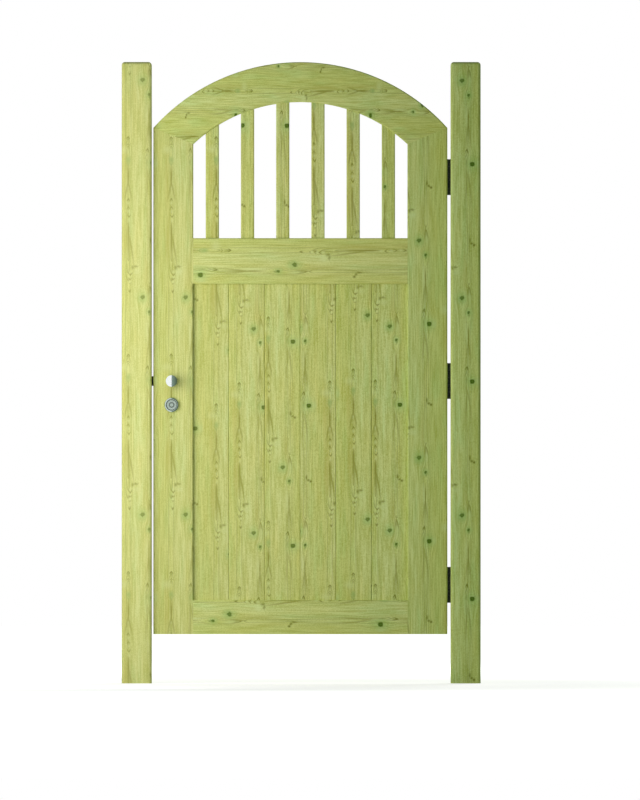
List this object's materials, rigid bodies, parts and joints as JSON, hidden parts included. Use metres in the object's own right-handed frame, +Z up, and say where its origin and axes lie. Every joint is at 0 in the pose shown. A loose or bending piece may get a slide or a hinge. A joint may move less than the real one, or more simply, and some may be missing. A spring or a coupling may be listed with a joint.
{
  "type": "arched garden gate",
  "caption": "Arched wooden garden gate between two posts, with balusters over a boarded panel, butt hinges, and a mortise lock with knobs.",
  "frame": {"origin": "midway between the two posts, at their feet and at the middle of their depth", "axes": "+Z up along the posts, +X from the latch post to the hinge post, -Y towards the viewer of the front"},
  "size_m": [1.08, 0.145, 1.87],
  "materials": {
    "post_timber": "planed, green pressure treated",
    "frame_timber": "planed, green pressure treated",
    "board_timber": "planed, green pressure treated",
    "baluster_timber": "planed, green pressure treated",
    "dowel_timber": "raw beech",
    "hinge_steel": "satin black",
    "latch_steel": "satin black",
    "zinc_steel": "zinc plated",
    "satin_furniture": "satin",
    "lock_brass": "cast, plain"
  },
  "bodies": {
    "gateway_posts": {"latch_post": "post_timber", "hinge_post": "post_timber", "strike_plate": "zinc_steel", "strike_screws": "zinc_steel", "post_hinge_leaf_1": "hinge_steel", "post_hinge_leaf_2": "hinge_steel", "post_hinge_leaf_3": "hinge_steel", "hinge_pin_1": "zinc_steel", "hinge_pin_2": "zinc_steel", "hinge_pin_3": "zinc_steel", "post_hinge_screws": "hinge_steel"},
    "gate_leaf": {"latch_stile": "frame_timber", "hinge_stile": "frame_timber", "arched_head": "frame_timber", "middle_rail": "frame_timber", "bottom_rail": "frame_timber", "head_dowels": "dowel_timber", "board_1": "board_timber", "board_2": "board_timber", "board_3": "board_timber", "board_4": "board_timber", "board_5": "board_timber", "board_6": "board_timber", "baluster_1": "baluster_timber", "baluster_2": "baluster_timber", "baluster_3": "baluster_timber", "baluster_4": "baluster_timber", "baluster_5": "baluster_timber", "baluster_6": "baluster_timber", "gate_hinge_leaf_1": "hinge_steel", "gate_hinge_leaf_2": "hinge_steel", "gate_hinge_leaf_3": "hinge_steel", "gate_hinge_screws": "hinge_steel", "lock_case": "zinc_steel", "lock_cover": "zinc_steel", "lock_forend": "satin_furniture", "forend_screws": "zinc_steel", "latch_spring": "zinc_steel", "cylinder_body": "satin_furniture", "cylinder_collar": "satin_furniture", "front_knob_rose": "satin_furniture", "back_knob_rose": "satin_furniture", "turn_rose": "satin_furniture", "rose_screws": "zinc_steel"},
    "knob_set": {"front_knob": "satin_furniture", "back_knob": "satin_furniture", "spindle": "zinc_steel", "follower": "zinc_steel", "grub_screws": "zinc_steel"},
    "latch": {"latch_bolt": "latch_steel"},
    "key_set": {"key_plug": "satin_furniture", "tail_rod": "zinc_steel", "lock_cam": "lock_brass", "thumb_turn": "satin_furniture"},
    "deadlock": {"dead_bolt": "lock_brass"}
  },
  "joints": [
    {"name": "gate_swing", "type": "hinge", "parent": "gateway_posts", "child": "gate_leaf", "pos_m": [0.445, 0.0275, 0.91], "axis": [0, 0, -1], "range_deg": [0, 110]},
    {"name": "knob_turn", "type": "hinge", "parent": "gate_leaf", "child": "knob_set", "pos_m": [-0.39, 0, 0.91], "axis": [0, 1, 0], "range_deg": [0, 50]},
    {"name": "latch_slide", "type": "slide", "parent": "gate_leaf", "child": "latch", "axis": [1, 0, 0], "range_m": [0, 0.012], "stiffness_N_per_m": 300, "springref_m": -0.02, "deforming": ["latch_spring"]},
    {"name": "key_turn", "type": "hinge", "parent": "gate_leaf", "child": "key_set", "pos_m": [-0.39, 0, 0.838], "axis": [0, -1, 0], "range_deg": [0, 360]},
    {"name": "dead_bolt_slide", "type": "slide", "parent": "gate_leaf", "child": "deadlock", "axis": [-1, 0, 0], "range_m": [0, 0.02]}
  ],
  "couplings": [
    {"joint": "knob_turn", "follows": "latch_slide", "rad_per_m": 72.72},
    {"joint": "key_turn", "follows": "dead_bolt_slide", "rad_per_m": 314.15}
  ]
}
